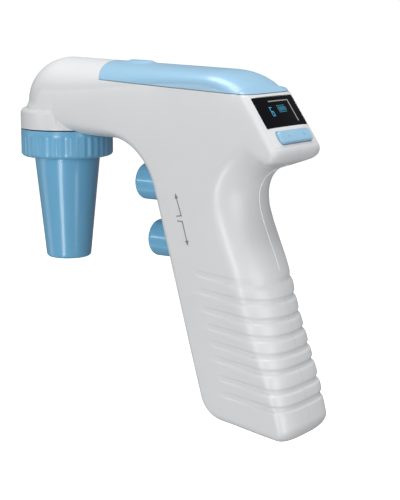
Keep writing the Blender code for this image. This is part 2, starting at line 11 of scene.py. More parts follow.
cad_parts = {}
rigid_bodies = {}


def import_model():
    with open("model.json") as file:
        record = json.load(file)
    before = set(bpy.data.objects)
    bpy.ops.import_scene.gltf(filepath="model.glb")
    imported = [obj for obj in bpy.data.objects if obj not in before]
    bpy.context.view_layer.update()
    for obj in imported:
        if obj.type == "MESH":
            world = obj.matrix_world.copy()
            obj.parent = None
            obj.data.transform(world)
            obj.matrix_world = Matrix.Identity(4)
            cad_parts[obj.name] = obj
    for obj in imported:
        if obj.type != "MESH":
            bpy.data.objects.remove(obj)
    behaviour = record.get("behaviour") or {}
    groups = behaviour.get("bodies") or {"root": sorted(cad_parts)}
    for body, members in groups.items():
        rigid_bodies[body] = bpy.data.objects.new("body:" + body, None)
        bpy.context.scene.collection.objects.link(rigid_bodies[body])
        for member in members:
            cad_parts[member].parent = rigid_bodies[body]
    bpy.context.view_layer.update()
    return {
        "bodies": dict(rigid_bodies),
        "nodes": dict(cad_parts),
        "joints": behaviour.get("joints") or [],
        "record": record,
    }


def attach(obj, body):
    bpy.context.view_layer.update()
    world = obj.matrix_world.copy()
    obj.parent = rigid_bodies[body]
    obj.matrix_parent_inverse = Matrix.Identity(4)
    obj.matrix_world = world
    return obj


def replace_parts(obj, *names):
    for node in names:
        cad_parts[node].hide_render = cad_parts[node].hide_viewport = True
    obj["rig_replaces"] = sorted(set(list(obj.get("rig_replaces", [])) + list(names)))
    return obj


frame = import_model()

MM = 0.001
GRIP_CENTRE = Vector((86.0, 0.0, -55.0))   # in millimetres from the nose axis; the frame's origin

# ------------------------------------------------------------------ the form, as in part.py
HALF_WIDTH = 18.3
WALL = 2.0
OUTLINE = (
    (-14.8, -2.0, 11.6, 11.6, 11.0, 2.0),
    (-13.9, 31.3, 19.0, 19.0, 14.5, 2.0),
    (93.8, 26.9, 10.0, 9.0, 6.5, 2.6),
    (104.0, 18.8, 2.5, 1.5, 5.0, 4.5),
    (120.7, -6.0, 5.5, 5.5, 4.2, 4.0),
    (98.9, -15.1, 9.0, 9.0, 12.0, 2.0),
    (100.0, -29.0, 3.5, 10.0, 12.0, 2.0),
    (109.7, -52.0, 8.0, 8.0, 12.0, 2.0),
    (126.3, -119.6, 8.5, 8.5, 5.5, 3.0),
    (82.8, -114.2, 9.5, 9.5, 5.5, 2.4),
    (51.0, -3.2, 19.0, 18.0, 6.5, 2.2),
)
GRIP_CORNER = 7                 # the straight after this corner carries the grooves
FINE_STEP = 0.3
COARSE_STEP = 1.5
ROLL_STEPS = 22

SKIRT_R = 20.0
SKIRT_TOP = 9.07
SKIRT_EDGE = 2.8
SKIRT_BORE = 16.0
COLLAR_R = 20.0
COLLAR_TOP = -0.5
COLLAR_BOTTOM = -12.4
CONE_TOP_R = 14.3
CONE_BOTTOM_R = 9.7
CONE_BOTTOM = -57.1
MOUTH_R = 7.0
FLUTES = 37
COVER_FRONT_LOW = (31.9, 22.2)
COVER_FRONT_TOP = (27.8, 30.5)
COVER_SLOPE = -0.0535
LATCH_X = 41.0                   # centre of the cover's raised oval
LATCH_HALF = (6.6, 5.6)
LATCH_RISE = 0.75
LATCH_EDGE = 0.24                # share of the oval that slopes

PANEL_START = Vector((104.8, 0.0, 17.0))
PANEL_DOWN = Vector((0.568, 0.0, -0.823)).normalized()
PANEL_OUT = Vector((0.823, 0.0, 0.568)).normalized()
PANEL_HALF = 16.45
PANEL_S = (-1.2, 22.0)
PANEL_THICK = 2.2
WINDOW_HALF = 14.9
WINDOW_S = (0.0, 13.6)
ROCKER_HALF = 11.8
ROCKER_S = (15.6, 21.1)
ROCKER_PROUD = 1.2
TRIGGER_R = 7.75
TRIGGER_LENGTH = 18.3
TRIGGER_TIPS = {"aspirate_trigger": (41.2, -20.5), "dispense_trigger": (47.8, -44.0)}
SCREWS = ((62.0, -8.0), (95.2, -5.3), (75.0, -57.8), (88.0, -106.8), (112.0, -107.5))
BOSS_R = 3.2
SCREW_HEAD_R = 2.6
SCREW_SEAT = 12.0

# Front ends of the grip's grooves (x, z); each runs round the back to the same place on the right.
GROOVES = ((82.5, -53.25), (84.2, -60.4), (86.1, -67.6), (88.1, -74.4),
           (90.0, -81.1), (91.35, -87.2), (94.0, -94.8), (95.25, -101.3))
GROOVE_TILT = -0.11
GROOVE_HALF = 1.5
GROOVE_WALL = 0.75               # width of each side wall of a groove
GROOVE_SHALLOW = 0.16            # depth at the front end, on the flat side
GROOVE_DEEP = 0.62               # depth round the back
GROOVE_RAMP = 18.0               # way from a groove's front end to its full depth
RIB_RISE = 0.3
RIB_START = 6.0                  # way behind the grooves' front ends where the ribs begin
RIB_RAMP = 14.0
GRIP_ZONE_X = 76.0               # grooves and ribs stay behind this and between these heights
GRIP_ZONE_Z = (-112.0, -48.0)

# Extra mesh points on the grip's flat sides: rows FINE_STEP apart, leaning with the grip.
GRID_TOP = -50.0
GRID_HEIGHT = 58.0
GRID_FRONT = (80.6, -53.25)
GRID_LEAN = 0.27
GRID_COLUMNS = 26
GRID_STEP = 0.8

PANEL_GAP = 0.06                 # gaps round the display panel, the cover and the window
COVER_GAP = 0.12
WINDOW_GAP = 0.12
MOVING_GAP = 0.3                 # round the rocker, the triggers and the screw heads
FAR = 60.0                       # past every side of the object, for cutting shapes

FLOOR_Z = -0.13                  # metres, a little under the foot
FLOOR_REACH = 1.5
# Lights aimed at the origin: name, place (m), width and height (m), power (W).
LIGHTS = (
    ("key", (0.3, -1.0, 0.3), (0.35, 0.5), 2.7),
    ("cone_strip", (0.13, -0.94, -0.36), (0.22, 0.6), 2.6),
    ("trigger_strip", (-0.56, -0.82, 0.1), (0.5, 0.12), 1.0),
    ("top", (0.0, 0.05, 0.85), (0.8, 0.5), 7.0),
    ("right_fill", (1.0, -0.12, 0.0), (0.6, 0.8), 3.7),
    ("left_fill", (-0.9, -0.45, -0.4), (0.4, 0.8), 0.9),
)


# ------------------------------------------------------------------ materials

def new_material(name):
    mat = bpy.data.materials.new(name)
    mat.use_nodes = True
    tree = mat.node_tree
    shader = tree.nodes["Principled BSDF"]
    coords = tree.nodes.new("ShaderNodeTexCoord")
    return mat, tree, shader, coords.outputs["Object"]


def noise(tree, vector, scale, detail=3.0, stretch=None):
    """A noise texture's factor; stretch scales the coordinates along X, Y and Z first."""
    if stretch:
        mapping = tree.nodes.new("ShaderNodeMapping")
        mapping.inputs["Scale"].default_value = stretch
        tree.links.new(vector, mapping.inputs["Vector"])
        vector = mapping.outputs["Vector"]
    node = tree.nodes.new("ShaderNodeTexNoise")
    node.inputs["Scale"].default_value = scale
    node.inputs["Detail"].default_value = detail
    tree.links.new(vector, node.inputs["Vector"])
    return node.outputs["Fac"]


def ramp(tree, factor, low, high, start=0.35, end=0.65):
    """Maps a factor to a grey or a colour between low and high."""
    node = tree.nodes.new("ShaderNodeValToRGB")
    first, last = node.color_ramp.elements
    first.position, last.position = start, end
    first.color = (*low, 1.0) if isinstance(low, tuple) else (low, low, low, 1.0)
    last.color = (*high, 1.0) if isinstance(high, tuple) else (high, high, high, 1.0)
    tree.links.new(factor, node.inputs["Fac"])
    return node.outputs["Color"]


def bump(tree, shader, factor, strength, distance):
    node = tree.nodes.new("ShaderNodeBump")
    node.inputs["Strength"].default_value = strength
    node.inputs["Distance"].default_value = distance
    tree.links.new(factor, node.inputs["Height"])
    tree.links.new(node.outputs["Normal"], shader.inputs["Normal"])


def shade(colour, amount):
    return tuple(max(0.0, min(1.0, c * amount)) for c in colour)


def plastic(name, colour, rough, grain=0.05, coat=0.0, vary=0.02, see=0.0, gleam=0.5):
    """Moulded plastic: faint flow marks in the colour, uneven gloss and, with grain, a texture."""
    mat, tree, shader, where = new_material(name)
    flow = noise(tree, where, 45.0, 4.0)
    tint = ramp(tree, flow, shade(colour, 1.0 - vary), shade(colour, 1.0 + vary))
    tree.links.new(tint, shader.inputs["Base Color"])
    patchy = noise(tree, where, 160.0, 5.0)
    gloss = ramp(tree, patchy, rough * 0.95, rough * 1.05)
    tree.links.new(gloss, shader.inputs["Roughness"])
    if grain:
        bump(tree, shader, noise(tree, where, 900.0, 2.0), grain, 0.00008)
    shader.inputs["Specular IOR Level"].default_value = gleam
    shader.inputs["Coat Weight"].default_value = coat
    shader.inputs["Coat Roughness"].default_value = 0.12
    shader.inputs["Subsurface Weight"].default_value = see
    shader.inputs["Subsurface Scale"].default_value = 0.002
    return mat


def metal(name, colour, rough, stretch=(1.0, 1.0, 14.0)):
    """Drawn or plated metal with fine streaks."""
    mat, tree, shader, where = new_material(name)
    streaks = noise(tree, where, 900.0, 4.0, stretch)
    tree.links.new(ramp(tree, streaks, shade(colour, 0.86), shade(colour, 1.08)),
                   shader.inputs["Base Color"])
    tree.links.new(ramp(tree, streaks, rough * 0.8, rough * 1.3), shader.inputs["Roughness"])
    bump(tree, shader, streaks, 0.08, 0.00003)
    shader.inputs["Metallic"].default_value = 1.0
    return mat


def glowing(name, colour, strength):
    """Lit display segments with the soft unevenness of a backlight; also makes the painted glint
    line on the display glow.
    """
    mat, tree, shader, where = new_material(name)
    uneven = noise(tree, where, 700.0, 2.0)
    lit = ramp(tree, uneven, shade(colour, 0.8), shade(colour, 1.1))
    tree.links.new(lit, shader.inputs["Emission Color"])
    shader.inputs["Base Color"].default_value = (*shade(colour, 0.2), 1.0)
    shader.inputs["Emission Strength"].default_value = strength
    shader.inputs["Roughness"].default_value = 0.3
    return mat


def board_material(name):
    """Green solder mask with fine darker tracks."""
    mat, tree, shader, where = new_material(name)
    wave = tree.nodes.new("ShaderNodeTexWave")
    wave.inputs["Scale"].default_value = 260.0
    wave.inputs["Distortion"].default_value = 6.0
    tree.links.new(where, wave.inputs["Vector"])
    colour = ramp(tree, wave.outputs["Fac"], (0.012, 0.13, 0.05), (0.03, 0.22, 0.09), 0.45, 0.55)
    tree.links.new(colour, shader.inputs["Base Color"])
    shader.inputs["Roughness"].default_value = 0.35
    bump(tree, shader, wave.outputs["Fac"], 0.2, 0.00005)
    return mat


MATERIALS = {
    "white_plastic": plastic("white_plastic", (0.77, 0.78, 0.79), 0.33, 0.0, 0.15, 0.01),
    "pale_blue_plastic": plastic("pale_blue_plastic", (0.335, 0.57, 0.76), 0.3, 0.0, 0.15, 0.01),
    "blue_plastic": plastic("blue_plastic", (0.17, 0.47, 0.72), 0.24, 0.0, 0.45, 0.01),
    "display_glass": plastic("display_glass", (0.002, 0.002, 0.003), 0.12, 0.0, 0.0, 0.05,
                             gleam=0.12),
    "black_plastic": plastic("black_plastic", (0.022, 0.022, 0.024), 0.5, 0.25, 0.0, 0.15),
    "circuit_board": board_material("circuit_board"),
    "silicone": plastic("silicone", (0.78, 0.77, 0.72), 0.55, 0.15, 0.0, 0.04, 0.3),
    "filter_plastic": plastic("filter_plastic", (0.8, 0.81, 0.79), 0.45, 0.1, 0.0, 0.03),
    "rubber": plastic("rubber", (0.03, 0.03, 0.032), 0.7, 0.4, 0.0, 0.2),
    "steel": metal("steel", (0.62, 0.62, 0.63), 0.28),
    "brass": metal("brass", (0.72, 0.54, 0.25), 0.3),
    "battery_wrap": plastic("battery_wrap", (0.05, 0.13, 0.4), 0.3, 0.08, 0.3, 0.06),
    "clear_tube": plastic("clear_tube", (0.74, 0.77, 0.78), 0.3, 0.05, 0.2, 0.03, 0.4),
}
PRINT = plastic("grey_print", (0.24, 0.245, 0.25), 0.5, 0.1, 0.0, 0.1)
# Painted highlight: a lighter white than the housing's white plastic, for the light caught along
# the grip's rear seam.
SEAM_PAINTED_HIGHLIGHT = plastic("seam_painted_highlight", (0.93, 0.94, 0.95), 0.2, 0.0, 0.5, 0.01)
LIT_DIGIT = glowing("lit_digit", (0.05, 0.36, 0.62), 0.9)
LIT_BATTERY = glowing("lit_battery", (0.03, 0.2, 0.3), 0.8)
# Painted glint: a faintly glowing grey line on the display stands in for a reflection along the
# window's edge.
SCREEN_PAINTED_GLINT = glowing("screen_painted_glint", (0.38, 0.39, 0.4), 0.75)
ROCKER_PRINT = plastic("rocker_print", (0.2, 0.42, 0.58), 0.5, 0.1, 0.0, 0.1)


# ------------------------------------------------------------------ mesh helpers

def quarter_turn(steps, first=0):
    """Sine and cosine of even steps through a right angle."""
    angles = [math.radians(90.0) * step / steps for step in range(first, steps + 1)]
    return [(math.sin(angle), math.cos(angle)) for angle in angles]


def smooth(t):
    """Eases 0 to 1."""
    return t * t * (3.0 - 2.0 * t)


def to_object(name, bm, shade_angle=40.0):
    """Makes an object of a bmesh whose points are in millimetres from the nose axis."""
    bm.transform(Matrix.Scale(MM, 4) @ Matrix.Translation(-GRIP_CENTRE))
    mesh = bpy.data.meshes.new(name)
    bm.to_mesh(mesh)
    bm.free()
    mesh.shade_smooth()
    mesh.set_sharp_from_angle(angle=math.radians(shade_angle))
    obj = bpy.data.objects.new(name, mesh)
    bpy.context.scene.collection.objects.link(obj)
    return obj


def piece(obj, body, slot, *nodes, material=None):
    """Gives a finished object its material and its place in the frame."""
    obj.data.materials.clear()
    obj.data.materials.append(material or MATERIALS[slot])
    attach(obj, body)
    if nodes:
        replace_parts(obj, *nodes)
    return obj


def combine(obj, others, operation):
    """Applies Booleans with helper objects, then removes the helpers."""
    for other in others:
        mod = obj.modifiers.new("bool", "BOOLEAN")
        mod.operation = operation
        mod.solver = "MANIFOLD"
        mod.object = other
    bpy.context.view_layer.update()
    graph = bpy.context.evaluated_depsgraph_get()
    mesh = bpy.data.meshes.new_from_object(obj.evaluated_get(graph))
    obj.modifiers.clear()
    obj.data = mesh
    for other in others:
        bpy.data.objects.remove(other)
    return obj


def resmooth(obj, angle=40.0):
    obj.data.shade_smooth()
    obj.data.set_sharp_from_angle(angle=math.radians(angle))
    return obj


def block(name, low, high, frame=None):
    low, high = (Vector(pick(pair) for pair in zip(low, high)) for pick in (min, max))
    bm = bmesh.new()
    bmesh.ops.create_cube(bm, size=1.0)
    bmesh.ops.scale(bm, vec=high - low, verts=bm.verts)
    bmesh.ops.translate(bm, vec=(low + high) / 2.0, verts=bm.verts)
    if frame is not None:
        bm.transform(frame)
    return to_object(name, bm)


def rod(name, start, end, radius, sides=64):
    start, end = Vector(start), Vector(end)
    axis = end - start
    bm = bmesh.new()
    bmesh.ops.create_cone(bm, cap_ends=True, segments=sides, radius1=radius, radius2=radius,
                          depth=axis.length)
    turn = Vector((0.0, 0.0, 1.0)).rotation_difference(axis).to_matrix().to_4x4()
    bm.transform(Matrix.Translation((start + end) / 2.0) @ turn)
    return to_object(name, bm)


def rounded(profile, radius=0.4, steps=4, closed=True):
    """Rounds the corners of a profile of (r, z) points; points on the axis stay."""
    points = [Vector(p) for p in profile]
    result = []
    for index, point in enumerate(points):
        first, last = index == 0, index == len(points) - 1
        if point.x < 1e-6 or (not closed and (first or last)):
            result.append(point)
            continue
        before, after = points[index - 1], points[(index + 1) % len(points)]
        into, out = (point - before), (after - point)
        if into.length < 1e-9 or out.length < 1e-9 or into.angle(out) < 0.2:
            result.append(point)
            continue
        size = min(radius, into.length * 0.45, out.length * 0.45)
        start, end = point - into.normalized() * size, point + out.normalized() * size
        weight = math.cos(into.angle(out) / 2.0)
        for step in range(steps + 1):
            t = step / steps
            a, b, c = (1 - t) ** 2, 2 * t * (1 - t) * weight, t ** 2
            result.append((start * a + point * b + end * c) / (a + b + c))
    return result


def lathe(name, profile, steps=128, frame=None, radius_at=None, closed=False):
    """Turns (r, z) points about Z; radius_at(r, z, angle) may change each radius."""
    bm = bmesh.new()
    columns = []
    for step in range(steps):
        angle = 2.0 * math.pi * step / steps
        column = []
        for r, z in profile:
            if r < 1e-6:
                column.append(None)
                continue
            shown = radius_at(r, z, angle) if radius_at else r
            column.append(bm.verts.new((shown * math.cos(angle), shown * math.sin(angle), z)))
        columns.append(column)
    poles = {i: bm.verts.new((0.0, 0.0, profile[i][1]))
             for i in range(len(profile)) if profile[i][0] < 1e-6}
    pairs = list(zip(range(len(profile) - 1), range(1, len(profile))))
    if closed:
        pairs.append((len(profile) - 1, 0))
    for step in range(steps):
        this, after = columns[step], columns[(step + 1) % steps]
        for i, j in pairs:
            ring_a = [this[i], after[i]] if this[i] else [poles[i]]
            ring_b = [after[j], this[j]] if this[j] else [poles[j]]
            corners = ring_a + ring_b
            if len(corners) > 2:
                bm.faces.new(corners)
    bmesh.ops.recalc_face_normals(bm, faces=bm.faces)
    if frame is not None:
        bm.transform(frame)
    return to_object(name, bm)


def side_prism(name, points, low, high):
    bm = bmesh.new()
    face = bm.faces.new([bm.verts.new((x, low, z)) for x, z in points])
    grown = bmesh.ops.extrude_face_region(bm, geom=[face])
    verts = [v for v in grown["geom"] if isinstance(v, bmesh.types.BMVert)]
    bmesh.ops.translate(bm, vec=(0.0, high - low, 0.0), verts=verts)
    bmesh.ops.recalc_face_normals(bm, faces=bm.faces)
    return to_object(name, bm)


def tube(name, points, radius, sides=16):
    """A closed round tube along points in millimetres, as a mesh."""
    points = [Vector(p) for p in points]
    bm = bmesh.new()
    rings = []
    up = Vector((0.0, 1.0, 0.0))
    for index, point in enumerate(points):
        ahead = points[min(index + 1, len(points) - 1)] - points[max(index - 1, 0)]
        ahead.normalize()
        across = ahead.cross(up)
        if across.length < 1e-3:
            across = ahead.cross(Vector((1.0, 0.0, 0.0)))
        across.normalize()
        up = across.cross(ahead).normalized()
        ring = []
        for side in range(sides):
            angle = 2.0 * math.pi * side / sides
            offset = across * math.cos(angle) + up * math.sin(angle)
            ring.append(bm.verts.new(point + offset * radius))
        rings.append(ring)
    for ring, after in zip(rings, rings[1:]):
        for side in range(sides):
            other = (side + 1) % sides
            bm.faces.new((ring[side], ring[other], after[other], after[side]))
    bm.faces.new(rings[0][::-1])
    bm.faces.new(rings[-1])
    bmesh.ops.recalc_face_normals(bm, faces=bm.faces)
    return to_object(name, bm)


# ------------------------------------------------------------------ the housing's form

def corner_arc(before, corner, after, cut_in, cut_out, steps):
    into = (corner - before).normalized()
    out = (after - corner).normalized()
    start = corner - into * cut_in
    end = corner + out * cut_out
    weight = math.cos(into.angle(out) / 2.0)
    points = []
    for step in range(steps + 1):
        t = step / steps
        a, b, c = (1 - t) ** 2, 2 * t * (1 - t) * weight, t ** 2
        points.append((start * a + corner * b + end * c) / (a + b + c))
    return points


def outline_stations(coarse, fine, corner_step):
    count = len(OUTLINE)
    arcs = []
    for index in range(count):
        x, z, cut_in, cut_out, roll, square = OUTLINE[index]
        before = Vector(OUTLINE[index - 1][:2])
        after = Vector(OUTLINE[(index + 1) % count][:2])
        steps = max(5, round((cut_in + cut_out) / corner_step))
        arcs.append((corner_arc(before, Vector((x, z)), after, cut_in, cut_out, steps),
                     roll, square))
    stations = []
    for index in range(count):
        arc, roll, square = arcs[index]
        next_arc, next_roll, next_square = arcs[(index + 1) % count]
        stations += [(point, roll, square) for point in arc]
        gap = next_arc[0] - arc[-1]
        size = fine if index == GRIP_CORNER else coarse
        pieces = max(1, round(gap.length / size))
        for step in range(1, pieces):
            t = step / pieces
            stations.append((arc[-1] + gap * t, roll + (next_roll - roll) * smooth(t),
                             square + (next_square - square) * smooth(t)))
    return stations


def rolled_rings(stations, inset, roll_steps):
    count = len(stations)
    half = HALF_WIDTH - inset
    rings = []
    for step in range(-roll_steps, roll_steps + 1):
        angle = math.radians(90.0) * abs(step) / roll_steps
        side = math.copysign(1.0, step)
        loop = []
        for index in range(count):
            point, roll, square = stations[index]
            along = (stations[(index + 1) % count][0] - stations[index - 1][0]).normalized()
            inward = Vector((along.y, -along.x))
            depth = max(roll - inset, 1.0) * (1.0 - max(math.cos(angle), 0.0) ** (2 / square))
            across = half * math.sin(angle) ** (2 / square)
            spot = point + inward * (inset + depth)
            loop.append((spot.x, side * across, spot.y))
        rings.append(loop)
    return rings


def inside(point, loop):
    """Whether a point in the side view lies inside a closed loop of points."""
    odd = False
    for a, b in zip(loop, loop[1:] + loop[:1]):
        if (a.y > point.y) != (b.y > point.y):
            if point.x < a.x + (point.y - a.y) * (b.x - a.x) / (b.y - a.y):
                odd = not odd
    return odd


def side_points(loop):
    """Extra points on the flat side, dense where the grooves run."""
    extra = []
    for row in range(int(GRID_HEIGHT / FINE_STEP)):
        z = GRID_TOP - row * FINE_STEP
        start = GRID_FRONT[0] - GRID_LEAN * (z - GRID_FRONT[1])
        for column in range(GRID_COLUMNS):
            back = column * GRID_STEP
            spot = Vector((start + back, z + GROOVE_TILT * back))
            ahead = spot + Vector((1.2, 0.0))
            if inside(ahead, loop) and inside(spot, loop):
                extra.append(spot)
    return extra


def add_skin(bm, rings, facing_out, dense):
    """Adds one closed skin; returns the vertices."""
    rings = [[bm.verts.new(point) for point in loop] for loop in rings]
    added = [vert for loop in rings for vert in loop]
    for loop, next_loop in zip(rings, rings[1:]):
        count = len(loop)
        for index in range(count):
            after = (index + 1) % count
            corners = (loop[index], loop[after], next_loop[after], next_loop[index])
            bm.faces.new(corners if facing_out else corners[::-1])
    for loop, toward_right in ((rings[0], False), (rings[-1], True)):
        flat = [Vector((vert.co.x, vert.co.z)) for vert in loop]
        extra = side_points(flat) if dense else []
        y = loop[0].co.y
        verts = loop + [bm.verts.new((p.x, y, p.y)) for p in extra]
        added += verts[len(loop):]
        found = delaunay_2d_cdt(flat + extra, [], [range(len(flat))], 1, 1e-6)
        for corners in found[2]:
            face = bm.faces.new([verts[index] for index in corners])
            face.normal_update()
            if (face.normal.y > 0.0) != (toward_right == facing_out):
                face.normal_flip()
    return added


def groove_offset(co):
    """How far a point of the grip moves along its normal: into a groove, or out on a rib."""
    near, above = None, None
    for x, z in GROOVES:
        over = co.z - (z + GROOVE_TILT * (co.x - x))
        ahead = co.x - x
        gap = abs(over) if ahead > 0.0 else math.hypot(over, ahead)
        if near is None or gap < near[0]:
            near = (gap, ahead)
        if over >= 0.0 and (above is None or over < above):
            above = over
    offset = 0.0
    gap, ahead = near
    if gap < GROOVE_HALF:
        t = min(1.0, (GROOVE_HALF - gap) / GROOVE_WALL)
        back = max(0.0, min(1.0, ahead / GROOVE_RAMP))
        depth = GROOVE_SHALLOW + (GROOVE_DEEP - GROOVE_SHALLOW) * back
        offset -= depth * smooth(t)
    first, last = GROOVES[0], GROOVES[-1]
    top = first[1] + GROOVE_TILT * (co.x - first[0])
    bottom = last[1] + GROOVE_TILT * (co.x - last[0])
    if bottom < co.z < top and ahead > RIB_START:
        pitch = (first[1] - last[1]) / (len(GROOVES) - 1)
        u = min(1.0, above / pitch) if above is not None else 0.5
        offset += RIB_RISE * min(1.0, (ahead - RIB_START) / RIB_RAMP) * 4.0 * u * (1.0 - u)
    return offset


def latch_offset(co):
    """The raised oval at the front of the cover."""
    reach = math.hypot((co.x - LATCH_X) / LATCH_HALF[0], co.y / LATCH_HALF[1])
    if co.z < COVER_FRONT_LOW[1] or reach > 1.0:
        return 0.0
    return LATCH_RISE * smooth(min(1.0, (1.0 - reach) / LATCH_EDGE))


def make_form(name, hollow, latch=False, dense=True):
    """The body's whole shape; dense gives it the grooves, latch the cover's raised oval."""
    stations = outline_stations(0.5 if latch else COARSE_STEP,
                                FINE_STEP if dense else COARSE_STEP, 1.0)
    rings = rolled_rings(stations, 0.0, ROLL_STEPS)
    bm = bmesh.new()
    skin = add_skin(bm, rings, True, dense)
    bm.normal_update()
    moves = []
    for vert in skin:
        offset = latch_offset(vert.co) if latch else 0.0
        low, high = GRIP_ZONE_Z
        in_zone = vert.co.x > GRIP_ZONE_X and low < vert.co.z < high
        if dense and in_zone and vert.normal.x > -0.3:
            offset = groove_offset(vert.co)
        if offset:
            moves.append((vert, vert.co + vert.normal * offset))
    for vert, spot in moves:
        vert.co = spot
    if hollow:
        inner = rolled_rings(outline_stations(6.0, 6.0, 4.0), WALL, 6)
        add_skin(bm, inner, False, False)
    return to_object(name, bm)


# ------------------------------------------------------------------ housings

def cover_region(name, clearance):
    low_x, low_z = COVER_FRONT_LOW
    top_x, top_z = COVER_FRONT_TOP
    far_x = 125.0
    points = [(low_x - clearance, low_z - clearance), (top_x - clearance, top_z),
              (top_x - clearance, FAR), (far_x, FAR),
              (far_x, low_z + COVER_SLOPE * (far_x - low_x) - clearance)]
    return side_prism(name, points, -40.0, 40.0)


PANEL_FRAME = Matrix((
    (PANEL_DOWN.x, 0.0, PANEL_OUT.x, PANEL_START.x),
    (0.0, 1.0, 0.0, 0.0),
    (PANEL_DOWN.z, 0.0, PANEL_OUT.z, PANEL_START.z),
    (0.0, 0.0, 0.0, 1.0),
))


def panel_block(name, s_range, half, out_range):
    return block(name, (s_range[0], -half, out_range[0]), (s_range[1], half, out_range[1]),
                 PANEL_FRAME)


def rear_seam():
    """The grip's rear line in the mid-plane, from under the lip to the first groove."""
    line = [point for point, _, _ in outline_stations(COARSE_STEP, COARSE_STEP, 1.0)]
    line = [p for p in line if p.x > 92.0 and -52.5 < p.y < -9.2]
    return [(p.x - 0.1, 0.0, p.y) for p in line]


def make_housings():
    form = make_form("form", True)
    skirt_profile = [(9.0, SKIRT_TOP)]
    skirt_profile += [(SKIRT_R - SKIRT_EDGE + SKIRT_EDGE * sine,
                       SKIRT_TOP - SKIRT_EDGE + SKIRT_EDGE * cosine)
                      for sine, cosine in quarter_turn(10)]
    skirt_profile += [(SKIRT_R, -1.0), (9.0, -1.0)]
    for name, side in (("left_housing", -1), ("right_housing", 1)):
        half = bpy.data.objects.new(name + "_look", form.data.copy())
        bpy.context.scene.collection.objects.link(half)
        bosses = [rod("boss", (x, side * 0.1, z), (x, side * (HALF_WIDTH - 1.7), z), BOSS_R, 32)
                  for x, z in SCREWS]
        combine(half, [lathe("skirt", skirt_profile, 180, closed=True)] + bosses, "UNION")
        cutters = [
            rod("nose_room", (0, 0, -40), (0, 0, 0), SKIRT_R + 0.6, 96),
            rod("bore_room", (0, 0, -2), (0, 0, 5.93), SKIRT_BORE, 95),
            rod("neck_room", (0, 0, -1), (0, 0, 14), 11.4, 93),
            cover_region("cover_room", COVER_GAP),
            panel_block("panel_room", (PANEL_S[0] - PANEL_GAP, PANEL_S[1] + PANEL_GAP),
                        PANEL_HALF + PANEL_GAP, (-PANEL_THICK - 0.3, 8.0)),
            block("port_room", (97.7, -5.0, -125.0), (102.3, 5.0, -100.0)),
        ]
        for tip_x, tip_z in TRIGGER_TIPS.values():
            cutters.append(rod("bore", (tip_x - 20, 0, tip_z), (tip_x + 22, 0, tip_z),
                               TRIGGER_R + MOVING_GAP, 96))
        for x, z in SCREWS:
            deep = 13.0 if side < 0 else SCREW_SEAT + 1.0
            cutters.append(rod("hole", (x, -side, z), (x, side * deep, z), 1.5, 32))
            if side > 0:
                cutters.append(rod("seat", (x, SCREW_SEAT, z), (x, 25, z),
                                   SCREW_HEAD_R + MOVING_GAP, 48))
        cutters.append(block("away", (-FAR, -FAR * side, -3 * FAR),
                             (3 * FAR, side * 0.04, FAR)))
        combine(half, cutters, "DIFFERENCE")
        piece(resmooth(half), "housing", "white_plastic", name)
    bpy.data.objects.remove(form)
    # The bead along the rear seam wears a lighter white, a painted highlight for the light along
    # that line.
    seam = tube("rear_seam_bead", rear_seam(), 0.24)
    piece(seam, "housing", "white_plastic", material=SEAM_PAINTED_HIGHLIGHT)


def make_cover():
    cover = make_form("top_cover_look", True, latch=True, dense=False)
    combine(cover, [cover_region("cover_shape", -COVER_GAP)], "INTERSECT")
    piece(resmooth(cover), "top_cover", "pale_blue_plastic", "top_cover")


# ------------------------------------------------------------------ display panel

def slab(name, s_mid, half_s, half_y, corner, levels):
    """A rounded plate on the panel; levels are (inset, height) pairs from the bottom up."""
    bm = bmesh.new()
    rings = []
    for inset, height in levels:
        ring = []
        reach = max(corner - inset, 0.05)
        for turn, (sx, sy) in enumerate(((1, 1), (-1, 1), (-1, -1), (1, -1))):
            centre = Vector((s_mid + sx * (half_s - inset - reach),
                             sy * (half_y - inset - reach), height))
            for step in range(9):
                angle = math.radians(90.0) * (turn + step / 8)
                ring.append(bm.verts.new(centre + Vector((math.cos(angle), math.sin(angle), 0.0))
                                         * reach))
        rings.append(ring)
    for ring, after in zip(rings, rings[1:]):
        count = len(ring)
        for index in range(count):
            other = (index + 1) % count
            bm.faces.new((ring[index], ring[other], after[other], after[index]))
    bm.faces.new(rings[0][::-1])
    bm.faces.new(rings[-1])
    bmesh.ops.recalc_face_normals(bm, faces=bm.faces)
    bm.transform(PANEL_FRAME)
    return to_object(name, bm)


def edge_levels(bottom, top, radius, steps=6):
    """Straight sides from bottom up, then a rounded top edge."""
    return [(0.0, bottom)] + [(radius * (1.0 - cosine), top - radius * (1.0 - sine))
                              for sine, cosine in quarter_turn(steps)]


def flat_marks(name, bars, base, thick, body, slot, material):
    """Thin printed or lit marks on the panel, and the painted glint line: bars are (s0, s1, y0,
    y1) in millimetres.
    """
    bm = bmesh.new()
    for s0, s1, y0, y1 in bars:
        made = bmesh.ops.create_cube(bm, size=1.0)["verts"]
        bmesh.ops.scale(bm, vec=(s1 - s0, y1 - y0, thick), verts=made)
        bmesh.ops.translate(bm, vec=((s0 + s1) / 2, (y0 + y1) / 2, base + thick / 2), verts=made)
    bm.transform(PANEL_FRAME)
    piece(to_object(name, bm), body, slot, material=material)


